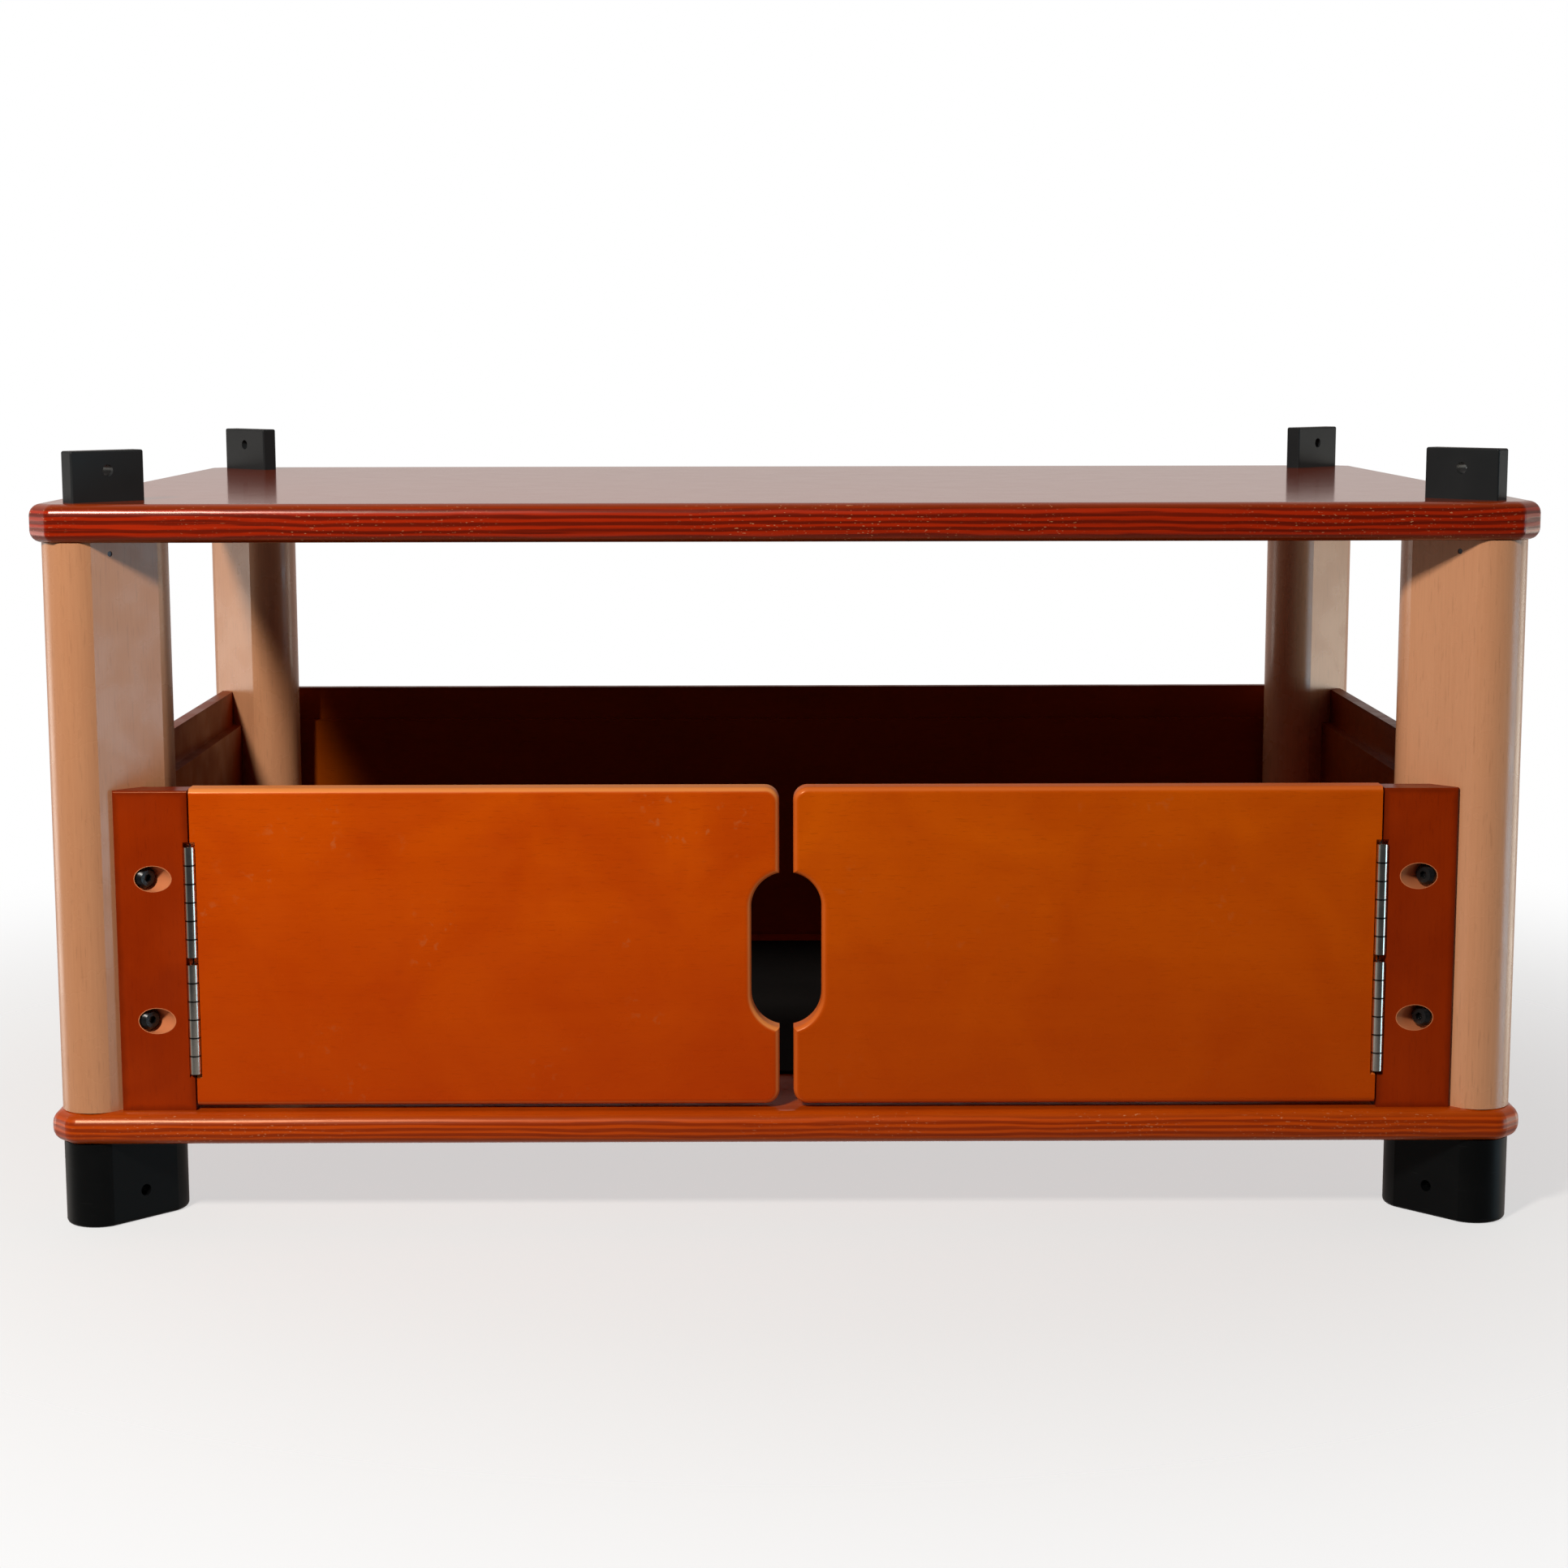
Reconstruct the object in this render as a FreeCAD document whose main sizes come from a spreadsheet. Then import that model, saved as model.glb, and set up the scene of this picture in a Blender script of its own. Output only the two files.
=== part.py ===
"""Stackable cube storage unit: a post-and-panel box with two hinged doors.

Millimetres, +Z up, origin on the floor under the unit's centre, doors on the -Y side.
Four flat-sided posts with bulged ends stand at 45 degrees between two boards. Bevelled stiles and panels
are bolted onto the flats of the posts, and black plastic feet and tenons let one unit stack on another.
"""
import FreeCAD
import Part
import math
import os
import re
import Sketcher

SIZES = [
    ("unit_width", 820, "overall width, along X"),
    ("unit_depth", 530, "overall depth, along Y"),
    ("foot_height", 48, "foot below the lower board"),
    ("lower_board", 18, "thickness of the lower board"),
    ("post_height", 316, "clear height between the boards"),
    ("upper_board", 21, "thickness of the upper board"),
    ("tenon_rise", 28, "stacking tenon above the upper board"),
    ("corner_cut", 12, "chamfer across each board corner in plan"),
    ("upper_soft", 4, "softening of the upper board's chamfer"),
    ("lower_soft", 9, "softening of the lower board's chamfer"),
    ("upper_round", 6.5, "edge rounding of the upper board"),
    ("lower_round", 7.5, "edge rounding of the lower board"),
    ("post_inset_side", 36, "post centre in from the board's side"),
    ("post_inset_front", 35, "post centre in from the board's front or back"),
    ("post_long", 73.5, "post section, long way"),
    ("post_flat", 42, "post section, length of its flats"),
    ("post_thick", 37, "post section, between its flats"),
    ("tenon_long", 46, "tenon and plug section, long way"),
    ("tenon_thick", 10.4, "tenon and plug section, short way"),
    ("tenon_depth", 30, "tenon or plug inside the post"),
    ("tenon_ease", 1.2, "rounding of the tenon's edges"),
    ("slot_play", 0.2, "play round a tenon in a board's slot"),
    ("lock_dia", 6.5, "cross hole for a locking pin"),
    ("lock_rise", 17, "cross hole above the face that units meet at"),
    ("socket_long", 47, "socket in the foot, long way"),
    ("socket_thick", 11.4, "socket in the foot, short way"),
    ("socket_depth", 30, "socket in the foot"),
    ("foot_round", 2.5, "rounding of the foot's lower edge"),
    ("pin_dia", 3, "steel cross pin"),
    ("pin_drop", 6.5, "upper cross pin below the upper board"),
    ("pin_rise", 18, "lower cross pin above the lower board"),
    ("pin_shift", 9, "cross pin off the post's centre, towards the corner"),
    ("pin_sink", 0.5, "cross pin below the flat it enters"),
    ("panel_height", 180, "stiles, side panels and back panel"),
    ("panel_thick", 16, "stiles, side panels and back panel"),
    ("panel_edge", 3, "square edge left outside the bevel"),
    ("panel_setback", 6.45, "outer face behind the post's outermost point"),
    ("panel_ease", 1.2, "rounding of a panel's outer edges"),
    ("rebate_deep", 7, "rebate along the top inner edge"),
    ("rebate_high", 23, "rebate along the top inner edge"),
    ("door_width", 324.1, "one door"),
    ("door_height", 178.5, "one door"),
    ("door_thick", 15, "one door"),
    ("door_lift", 2.5, "door above the lower board"),
    ("door_gap", 7.8, "between the two doors"),
    ("door_corner", 8, "rounded free corners of a door"),
    ("door_round", 3.5, "rounded front edges of a door"),
    ("door_ease", 1.5, "rounded back edges of a door"),
    ("hinge_gap", 1.0, "between a door's edge and its stile"),
    ("grip_width", 39, "hand cut-out across both doors"),
    ("grip_height", 88.2, "hand cut-out across both doors"),
    ("grip_middle", 89.4, "hand cut-out's middle above the lower board"),
    ("hinge_height", 62, "butt hinge"),
    ("hinge_low", 52, "lower hinge's middle above the lower board"),
    ("hinge_pitch", 66, "between the two hinges of a door"),
    ("barrel_dia", 6.2, "hinge knuckles"),
    ("knuckle_gap", 0.3, "between one knuckle and the next"),
    ("hinge_pin_dia", 2.8, "hinge pin"),
    ("fixed_play", 0.02, "radial play of the pin in the stile leaf"),
    ("running_play", 0.05, "radial play of the pin in the door leaf"),
    ("leaf_thick", 1.2, "hinge leaf"),
    ("leaf_offset", 0.2, "leaf off the hinge's centre plane"),
    ("leaf_deep", 13.5, "leaf behind the hinge axis"),
    ("groove_half", 3.4, "barrel groove to each side of the hinge axis"),
    ("groove_deep", 3.6, "barrel groove behind the front face"),
    ("groove_long", 129.6, "barrel groove at its bottom"),
    ("groove_ramp", 1.6, "slope at each end of the barrel groove"),
    ("screw_pitch", 22, "between the screws of a leaf"),
    ("screw_back", 8.6, "screws behind the hinge axis"),
    ("screw_dia", 2.6, "hinge screw's shank"),
    ("screw_head_dia", 4.8, "hinge screw's head"),
    ("screw_long", 13, "hinge screw below the leaf"),
    ("screw_play", 0.1, "hinge screw's holes over its diameters"),
    ("bolt_low", 51, "lower panel bolts above the lower board"),
    ("bolt_pitch", 80, "between the upper and lower panel bolts"),
    ("bolt_dia", 5.9, "panel bolt's shank"),
    ("bolt_hole_dia", 6.6, "clearance hole in a panel"),
    ("bolt_seat", 8, "wood under a bolt's head"),
    ("bolt_head_dia", 12, "panel bolt's head"),
    ("bolt_head_rim", 2.4, "straight part of the head"),
    ("bolt_head_dome", 2, "sloped part of the head"),
    ("bolt_face_dia", 8.6, "flat end of the head"),
    ("bolt_long", 18.5, "bolt below its head"),
    ("key_width", 4, "hexagon socket in the head, across flats"),
    ("key_deep", 2.5, "hexagon socket in the head"),
    ("counterbore_dia", 14.2, "slanted hole that sinks a bolt's head"),
    ("insert_dia", 10, "threaded insert in the post"),
    ("insert_deep", 12, "threaded insert in the post"),
    ("insert_bore_dia", 6, "threaded insert's bore"),
    ("mat_wide", 640, "floor mat, along X"),
    ("mat_deep", 382, "floor mat, along Y"),
    ("mat_thick", 2, "floor mat"),
    ("mat_back", 15, "floor mat's middle behind the unit's middle"),
]

# Sizes worked out from the sheet. Every name has an underscore in it, so that formula()
# can tell it from a function.
WORKED_OUT = {
    "post_half": "post_thick / 2",
    "post_bulge": "(post_long - post_flat) / 2",
    # radius of a post's bulged end, and how far its centre is from the post's
    "post_crown": "(post_half * post_half + post_bulge * post_bulge) / (2 * post_bulge)",
    "crown_arm": "post_long / 2 - post_crown",
    "post_x": "unit_width / 2 - post_inset_side",
    "post_y": "unit_depth / 2 - post_inset_front",
    "flat_shift": "post_half * sqrt(0.5)",
    "crown_shift": "crown_arm * sqrt(0.5)",
    "floor_z": "foot_height + lower_board",
    "ceiling_z": "floor_z + post_height",
    # how far a panel's outer face stands outside the centre of the flat that it is bolted to
    "panel_stand": "crown_shift + post_crown - flat_shift - panel_setback",
    "front_face": "post_y + flat_shift + panel_stand",
    "side_face": "post_x + flat_shift + panel_stand",
    "front_reach": "post_x - flat_shift + panel_stand - panel_edge",
    "side_reach": "post_y - flat_shift + panel_stand - panel_edge",
    "panel_bevel": "panel_thick - panel_edge",
    "hinge_x": "door_gap / 2 + door_width + hinge_gap / 2",
    "stile_inner": "hinge_x + hinge_gap / 2",
    "door_outer": "hinge_x - hinge_gap / 2",
    "leaf_face": "leaf_offset + leaf_thick",
    "bolt_head_high": "bolt_head_rim + bolt_head_dome",
}

KNUCKLES = 6
SCREW_PLACES = (-1, 0, 1)
HINGES = {"lower": "hinge_low", "upper": "hinge_low + hinge_pitch"}
BOLT_HEIGHTS = ("bolt_low", "bolt_low + bolt_pitch")
SIDES = {"left": -1, "right": 1}
ENDS = {"front": -1, "rear": 1}
UP = FreeCAD.Vector(0, 0, 1)
BACK = FreeCAD.Vector(0, 1, 0)
WORD = re.compile(r"[a-z]+(?:_[a-z]+)+")
DIAGONAL = math.sqrt(0.5)
NEAR = 0.01

doc = FreeCAD.newDocument("storage_unit")
sheet = doc.addObject("Spreadsheet::Sheet", "dims")
for row, (alias, size, meaning) in enumerate(SIZES, start=1):
    sheet.set("A%d" % row, meaning)
    sheet.set("B%d" % row, str(size))
    sheet.setAlias("B%d" % row, alias)
doc.recompute()


def formula(text):
    """Spell a formula out for the document: worked-out names in full, sheet names as cells of dims."""

    def spell(match):
        word = match.group()
        if word in WORKED_OUT:
            return "(" + formula(WORKED_OUT[word]) + ")"
        return "dims." + word

    return WORD.sub(spell, text)


def value(text):
    """The present value of a formula."""
    return float(sheet.evalExpression(formula(text)))


def bind(thing, prop, text):
    """Tie a property to a formula."""
    thing.setExpression(prop, formula(text))


def place(thing, at, rotation=None):
    """Give an object a rotation, and a position tied to three formulas."""
    thing.Placement = FreeCAD.Placement(FreeCAD.Vector(*map(value, at)), rotation or FreeCAD.Rotation())
    for axis, text in zip("xyz", at):
        bind(thing, "Placement.Base." + axis, text)
    return thing


def primitive(kind, name, sizes, at, rotation=None):
    """A Part primitive with its sizes and position tied to formulas."""
    solid = doc.addObject(kind, name)
    for prop, text in sizes.items():
        bind(solid, prop, text)
    return place(solid, at, rotation)


def box(name, length, width, height, at, rotation=None):
    sizes = {"Length": length, "Width": width, "Height": height}
    return primitive("Part::Box", name, sizes, at, rotation)


def cylinder(name, diameter, height, at, rotation=None):
    sizes = {"Radius": "(%s) / 2" % diameter, "Height": height}
    return primitive("Part::Cylinder", name, sizes, at, rotation)


def cone(name, lower, upper, height, at, rotation=None):
    sizes = {"Radius1": "(%s) / 2" % lower, "Radius2": "(%s) / 2" % upper, "Height": height}
    return primitive("Part::Cone", name, sizes, at, rotation)


def fuse(name, pieces):
    joined = doc.addObject("Part::MultiFuse", name)
    joined.Shapes = pieces
    return joined


def cut(name, base, tools):
    """Base with every tool taken out of it."""
    tool = tools[0]
    if len(tools) > 1:
        tool = doc.addObject("Part::Compound", name + "_tools")
        tool.Links = tools
    result = doc.addObject("Part::Cut", name)
    result.Base = base
    result.Tool = tool
    return result


def group(name, pieces):
    """Several separate solids that share one node."""
    bundle = doc.addObject("Part::Compound", name)
    bundle.Links = pieces
    return bundle


def new_body(name):
    return doc.addObject("PartDesign::Body", name)


def new_sketch(body, name, height=None, plane="XY_Plane"):
    """A sketch on one of the body's origin planes, or parallel to it at a height tied to a formula."""
    sketch = body.newObject("Sketcher::SketchObject", name)
    support = [feature for feature in body.Origin.OriginFeatures if feature.Role == plane][0]
    sketch.AttachmentSupport = [(support, "")]
    sketch.MapMode = "FlatFace"
    if height:
        bind(sketch, "AttachmentOffset.Base.z", height)
    return sketch


def pin_point(sketch, edge, end, x, y):
    """Hold one end of a sketch edge at a place tied to two formulas."""
    for kind, text in (("DistanceX", x), ("DistanceY", y)):
        index = sketch.addConstraint(Sketcher.Constraint(kind, edge, end, value(text)))
        bind(sketch, "Constraints[%d]" % index, text)


def add_outline(sketch, corners):
    """A closed outline of straight edges through corners given as pairs of formulas."""
    first = sketch.GeometryCount
    points = [FreeCAD.Vector(value(x), value(y), 0) for x, y in corners]
    for start, end in zip(points, points[1:] + points[:1]):
        sketch.addGeometry(Part.LineSegment(start, end), False)
    for i, (x, y) in enumerate(corners):
        following = first + (i + 1) % len(corners)
        sketch.addConstraint(Sketcher.Constraint("Coincident", first + i, 2, following, 1))
        pin_point(sketch, first + i, 1, x, y)


def add_stadium(sketch, low, high, radius, standing=False):
    """Half circles about low and high on the sketch's X axis (its Y axis if standing), joined by flats."""
    size = value(radius)
    turn = math.pi / 2 if standing else 0
    spin = FreeCAD.Rotation(UP, math.degrees(turn))
    start = turn - math.pi / 2
    for text, begin in ((high, start), (low, start + math.pi)):
        circle = Part.Circle(spin.multVec(FreeCAD.Vector(value(text), 0, 0)), UP, size)
        sketch.addGeometry(Part.ArcOfCircle(circle, begin, begin + math.pi), False)
    for side, ends in ((1, (high, low)), (-1, (low, high))):
        points = [spin.multVec(FreeCAD.Vector(value(text), side * size, 0)) for text in ends]
        sketch.addGeometry(Part.LineSegment(*points), False)
    axis = -2 if standing else -1
    distance = "DistanceY" if standing else "DistanceX"
    square = "Horizontal" if standing else "Vertical"
    for arc, flat, text in ((0, 2, high), (1, 3, low)):
        sketch.addConstraint(Sketcher.Constraint("PointOnObject", arc, 3, axis))
        index = sketch.addConstraint(Sketcher.Constraint(distance, arc, 3, value(text)))
        bind(sketch, "Constraints[%d]" % index, text)
        index = sketch.addConstraint(Sketcher.Constraint("Radius", arc, size))
        bind(sketch, "Constraints[%d]" % index, radius)
        sketch.addConstraint(Sketcher.Constraint("Coincident", arc, 2, flat, 1))
        sketch.addConstraint(Sketcher.Constraint("Coincident", flat, 2, 1 - arc, 1))
        for end in (1, 2):
            sketch.addConstraint(Sketcher.Constraint(square, arc, end, arc, 3))


def add_post_section(sketch):
    """Two flats square to the sketch's Y axis, joined by bulged ends that meet them at a slight edge."""
    reach, half = value("post_flat") / 2, value("post_half")
    tip, crown = value("post_long") / 2, value("post_crown")
    for hand in (1, -1):
        corners = [(hand * reach, -hand * half), (hand * tip, 0), (hand * reach, hand * half)]
        sketch.addGeometry(Part.Arc(*[FreeCAD.Vector(x, y, 0) for x, y in corners]), False)
    for hand in (1, -1):
        ends = [FreeCAD.Vector(way * hand * reach, hand * half, 0) for way in (1, -1)]
        sketch.addGeometry(Part.LineSegment(*ends), False)
    for arc, flat, hand in ((0, 2, 1), (1, 3, -1)):
        sketch.addConstraint(Sketcher.Constraint("Coincident", arc, 2, flat, 1))
        sketch.addConstraint(Sketcher.Constraint("Coincident", flat, 2, 1 - arc, 1))
        for end, way in ((1, hand), (2, -hand)):
            pin_point(sketch, flat, end, "%d * post_flat / 2" % way, "%d * post_half" % hand)
        index = sketch.addConstraint(Sketcher.Constraint("Radius", arc, crown))
        bind(sketch, "Constraints[%d]" % index, "post_crown")


def add_oblong(sketch, length, width):
    """A rectangle about the origin, its long way along X."""
    x, y = "(%s) / 2" % length, "(%s) / 2" % width
    add_outline(sketch, [("-" + x, "-" + y), (x, "-" + y), (x, y), ("-" + x, y)])


def pad(body, sketch, height):
    feature = body.newObject("PartDesign::Pad", sketch.Name + "_pad")
    feature.Profile = sketch
    bind(feature, "Length", height)
    doc.recompute()
    return feature


def pocket(body, sketch, depth, upward=False):
    """Cut down from the sketch, or up from it, and make sure that something was removed."""
    before = body.Shape.Volume
    feature = body.newObject("PartDesign::Pocket", sketch.Name + "_pocket")
    feature.Profile = sketch
    feature.Reversed = upward
    bind(feature, "Length", depth)
    doc.recompute()
    if body.Shape.Volume >= before:
        raise ValueError("%s cuts nothing" % feature.Name)
    return feature


def soften(body, name, radius, chosen):
    """Round the edges of the body's last feature that the test picks."""
    base = body.Tip
    edges = ["Edge%d" % i for i, edge in enumerate(base.Shape.Edges, start=1) if chosen(edge)]
    feature = body.newObject("PartDesign::Fillet", name)
    feature.Base = (base, edges)
    bind(feature, "Radius", radius)
    doc.recompute()
    return feature


def upright(edge):
    """Whether an edge runs straight up."""
    spread = edge.BoundBox
    return spread.XLength < NEAR and spread.YLength < NEAR and spread.ZLength > NEAR


def level_at(*heights):
    """A test for edges that lie wholly at one of these heights."""

    def test(edge):
        spread = edge.BoundBox
        flat = spread.ZLength < NEAR
        return flat and any(abs(spread.ZMin - height) < NEAR for height in heights)

    return test


def corner_posts():
    """Name, centre formulas and heading of each post: its own +X points at the unit's middle."""
    for end, front in ENDS.items():
        for side, hand in SIDES.items():
            heading = math.degrees(math.atan2(-front, -hand))
            x, y = "%d * post_x" % hand, "%d * post_y" % front
            yield end + "_" + side, x, y, FreeCAD.Rotation(UP, heading)


def flats():
    """Each flat that a panel is bolted to: which panel, its centre's formulas and outward normal."""
    for front in ENDS.values():
        for hand in SIDES.values():
            face = "stile" if front < 0 else "back"
            x, y = "%d * (post_x - flat_shift)" % hand, "%d * (post_y + flat_shift)" % front
            yield face, hand, x, y, FreeCAD.Vector(-hand, front, 0) * DIAGONAL
            x, y = "%d * (post_x + flat_shift)" % hand, "%d * (post_y - flat_shift)" % front
            yield "side", hand, x, y, FreeCAD.Vector(hand, -front, 0) * DIAGONAL


def along(x, y, normal, distance):
    """Formulas for the point at a distance along a level 45-degree normal from (x, y)."""
    step = [math.copysign(1, part) for part in (normal.x, normal.y)]
    return ["(%s) + %d * (%s) * sqrt(0.5)" % (start, sign, distance) for start, sign in zip((x, y), step)]


def make_board(label, height, thickness, softness, rounding):
    """A board with chamfered corners, rounded edges and a diagonal slot over each post."""
    body = new_body(label)
    sketch = new_sketch(body, label + "_outline")
    wide, deep = "unit_width / 2", "unit_depth / 2"
    corners = []
    for sx, sy, first in ((-1, -1, "x"), (1, -1, "y"), (1, 1, "x"), (-1, 1, "y")):
        chamfer = [
            ("%d * (%s)" % (sx, wide), "%d * (%s - corner_cut)" % (sy, deep)),
            ("%d * (%s - corner_cut)" % (sx, wide), "%d * (%s)" % (sy, deep)),
        ]
        corners += chamfer if first == "x" else chamfer[::-1]
    add_outline(sketch, corners)
    pad(body, sketch, thickness)
    soften(body, label + "_corners", softness, upright)
    soften(body, label + "_edges", rounding, level_at(0, value(thickness)))
    slots = new_sketch(body, label + "_slots")
    for _, x, y, rotation in corner_posts():
        along_slot = rotation.multVec(FreeCAD.Vector(1, 0, 0))
        across_slot = rotation.multVec(BACK)
        outline = []
        for a, b in ((-1, -1), (1, -1), (1, 1), (-1, 1)):
            shifts = []
            for u, v in ((along_slot.x, across_slot.x), (along_slot.y, across_slot.y)):
                long_sign, thick_sign = a * math.copysign(1, u), b * math.copysign(1, v)
                shifts.append("(%d * (tenon_long / 2 + slot_play) + %d * (tenon_thick / 2 + slot_play))"
                              " * sqrt(0.5)" % (long_sign, thick_sign))
            outline.append((x + " + " + shifts[0], y + " + " + shifts[1]))
        add_outline(slots, outline)
    pocket(body, slots, thickness, upward=True)
    return place(body, ("0", "0", height))


def make_post(label, x, y, rotation):
    """A post: mortised at both ends, cross-drilled for pins and inserts."""
    body = new_body(label + "_wood")
    sketch = new_sketch(body, label + "_section")
    add_post_section(sketch)
    pad(body, sketch, "post_height")
    lower = new_sketch(body, label + "_lower_mortise")
    add_oblong(lower, "tenon_long + 2 * slot_play", "tenon_thick + 2 * slot_play")
    pocket(body, lower, "tenon_depth + 1", upward=True)
    upper = new_sketch(body, label + "_upper_mortise", "post_height")
    add_oblong(upper, "tenon_long + 2 * slot_play", "tenon_thick + 2 * slot_play")
    pocket(body, upper, "tenon_depth + 1")
    across = FreeCAD.Rotation(UP, BACK)
    drills = []
    for i, height in enumerate(("pin_rise", "post_height - pin_drop")):
        at = ("-pin_shift", "-post_thick", height)
        drills.append(cylinder("%s_pin_hole_%d" % (label, i), "pin_dia", "2 * post_thick", at, across))
    for i, height in enumerate(BOLT_HEIGHTS):
        for sign, start in (("low", "-post_half"), ("high", "post_half - insert_deep")):
            name = "%s_insert_hole_%s_%d" % (label, sign, i)
            drills.append(cylinder(name, "insert_dia", "insert_deep", ("0", start, height), across))
    return place(cut(label, body, drills), (x, y, "floor_z"), rotation)


def make_tenon(label, x, y, rotation):
    """A flat bar through the upper board into the post, with a cross hole for a locking pin."""
    body = new_body(label + "_bar")
    sketch = new_sketch(body, label + "_section")
    add_oblong(sketch, "tenon_long", "tenon_thick")
    tall = "tenon_depth + upper_board + tenon_rise"
    pad(body, sketch, tall)
    soften(body, label + "_eased", "tenon_ease", lambda edge: upright(edge) or level_at(value(tall))(edge))
    across = FreeCAD.Rotation(UP, BACK)
    lock = cylinder(label + "_lock_hole", "lock_dia", "2 * tenon_thick",
                    ("0", "-tenon_thick", "tenon_depth + upper_board + lock_rise"), across)
    peg = cylinder(label + "_pin_hole", "pin_dia", "2 * tenon_thick",
                   ("-pin_shift", "-tenon_thick", "tenon_depth - pin_drop"), across)
    return place(cut(label, body, [lock, peg]), (x, y, "ceiling_z - tenon_depth"), rotation)


def make_foot(label, x, y, rotation):
    """A moulded foot: socket below for the next unit's tenon, plug above through the lower board."""
    body = new_body(label + "_block")
    sketch = new_sketch(body, label + "_section")
    add_post_section(sketch)
    pad(body, sketch, "foot_height")
    soften(body, label + "_rounded", "foot_round", level_at(0))
    plug = new_sketch(body, label + "_plug", "foot_height")
    add_oblong(plug, "tenon_long", "tenon_thick")
    pad(body, plug, "lower_board + tenon_depth")
    socket = new_sketch(body, label + "_socket")
    add_oblong(socket, "socket_long", "socket_thick")
    pocket(body, socket, "socket_depth", upward=True)
    across = FreeCAD.Rotation(UP, BACK)
    lock = cylinder(label + "_lock_hole", "lock_dia", "2 * post_thick",
                    ("0", "-post_thick", "lock_rise"), across)
    peg = cylinder(label + "_pin_hole", "pin_dia", "2 * tenon_thick",
                   ("-pin_shift", "-tenon_thick", "floor_z + pin_rise"), across)
    return place(cut(label, body, [lock, peg]), (x, y, "0"), rotation)


def make_cross_pins():
    """Steel pins that hold each tenon and each foot's plug in its post."""
    pins = []
    for name, x, y, rotation in corner_posts():
        inward = rotation.multVec(FreeCAD.Vector(1, 0, 0))
        across = rotation.multVec(BACK)
        px, py = along(x, y, inward, "-pin_shift")
        px, py = along(px, py, across, "pin_sink - post_half")
        for level, height in (("lower", "floor_z + pin_rise"), ("upper", "ceiling_z - pin_drop")):
            pins.append(cylinder("%s_%s_cross_pin" % (name, level), "pin_dia", "post_thick - 2 * pin_sink",
                                 (px, py, height), FreeCAD.Rotation(UP, across)))
    return group("post_cross_pins", pins)


def bolt_drills(label, flats_met):
    """Slanted counterbores and clearance holes, square to flats given as centre formulas and normal."""
    drills = []
    for i, (x, y, normal) in enumerate(flats_met):
        turn = FreeCAD.Rotation(UP, normal)
        through = along(x, y, normal, "-panel_edge")
        sunk = along(x, y, normal, "bolt_seat")
        for j, height in enumerate(BOLT_HEIGHTS):
            name = "%s_drill_%d_%d" % (label, i, j)
            shank, head = (*through, height), (*sunk, height)
            drills.append(cylinder(name, "bolt_hole_dia", "bolt_seat + 2 * panel_edge", shank, turn))
            drills.append(cylinder(name + "_sink", "counterbore_dia", "2 * panel_thick", head, turn))
    return drills


def make_stile(side, hand):
    """The upright that a door hangs on: bevelled onto its post, grooved and let in for the hinges."""
    label = side + "_stile"
    body = new_body(label + "_wood")
    sketch = new_sketch(body, label + "_section")
    add_outline(sketch, [
        ("%d * front_reach" % hand, "-front_face"),
        ("%d * front_reach" % hand, "-front_face + panel_edge"),
        ("%d * (front_reach - panel_bevel)" % hand, "-front_face + panel_thick"),
        ("%d * stile_inner" % hand, "-front_face + panel_thick"),
        ("%d * stile_inner" % hand, "-front_face"),
    ])
    pad(body, sketch, "panel_height")
    top, front, inner = value("panel_height"), value("-front_face"), value("stile_inner")

    def outer_edge(edge):
        spread = edge.BoundBox
        on_front = spread.YLength < NEAR and abs(spread.YMin - front) < NEAR
        at_hinge = upright(edge) and abs(abs(spread.XMin) - inner) < NEAR
        return on_front and not at_hinge and (upright(edge) or abs(spread.ZMin - top) < NEAR)

    soften(body, label + "_eased", "panel_ease", outer_edge)
    tools = bolt_drills(label, [flat[2:] for flat in flats() if flat[:2] == ("stile", hand)])
    tools += hinge_recesses(label, hand, hand, "0")
    return place(cut(label, body, tools), ("0", "0", "floor_z"))


def make_long_panel(label, reach, face, flat, heading):
    """A panel made facing +Y, then turned: ends bevelled onto two posts, rebated along its top inner edge."""
    body = new_body(label + "_wood")
    sketch = new_sketch(body, label + "_section")
    inner = face + " - panel_thick"
    right = [(reach, face), (reach, face + " - panel_edge"), (reach + " - panel_bevel", inner)]
    add_outline(sketch, right + [("-(%s)" % x, y) for x, y in reversed(right)])
    pad(body, sketch, "panel_height")
    top, outside = value("panel_height"), value(face)

    def outer_edge(edge):
        spread = edge.BoundBox
        on_face = spread.YLength < NEAR and abs(spread.YMin - outside) < NEAR
        return on_face and (upright(edge) or abs(spread.ZMin - top) < NEAR)

    soften(body, label + "_eased", "panel_ease", outer_edge)
    rebate = box(label + "_rebate", "2 * " + reach, "2 * rebate_deep", "2 * rebate_high",
                 ("-" + reach, inner + " - rebate_deep", "panel_height - rebate_high"))
    flats_met = []
    for end in (-1, 1):
        normal = FreeCAD.Vector(-end, 1, 0) * DIAGONAL
        flats_met.append(("%d * (%s)" % (end, flat), face + " - panel_stand", normal))
    panel = cut(label, body, [rebate] + bolt_drills(label, flats_met))
    return place(panel, ("0", "0", "floor_z"), FreeCAD.Rotation(UP, heading))


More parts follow.
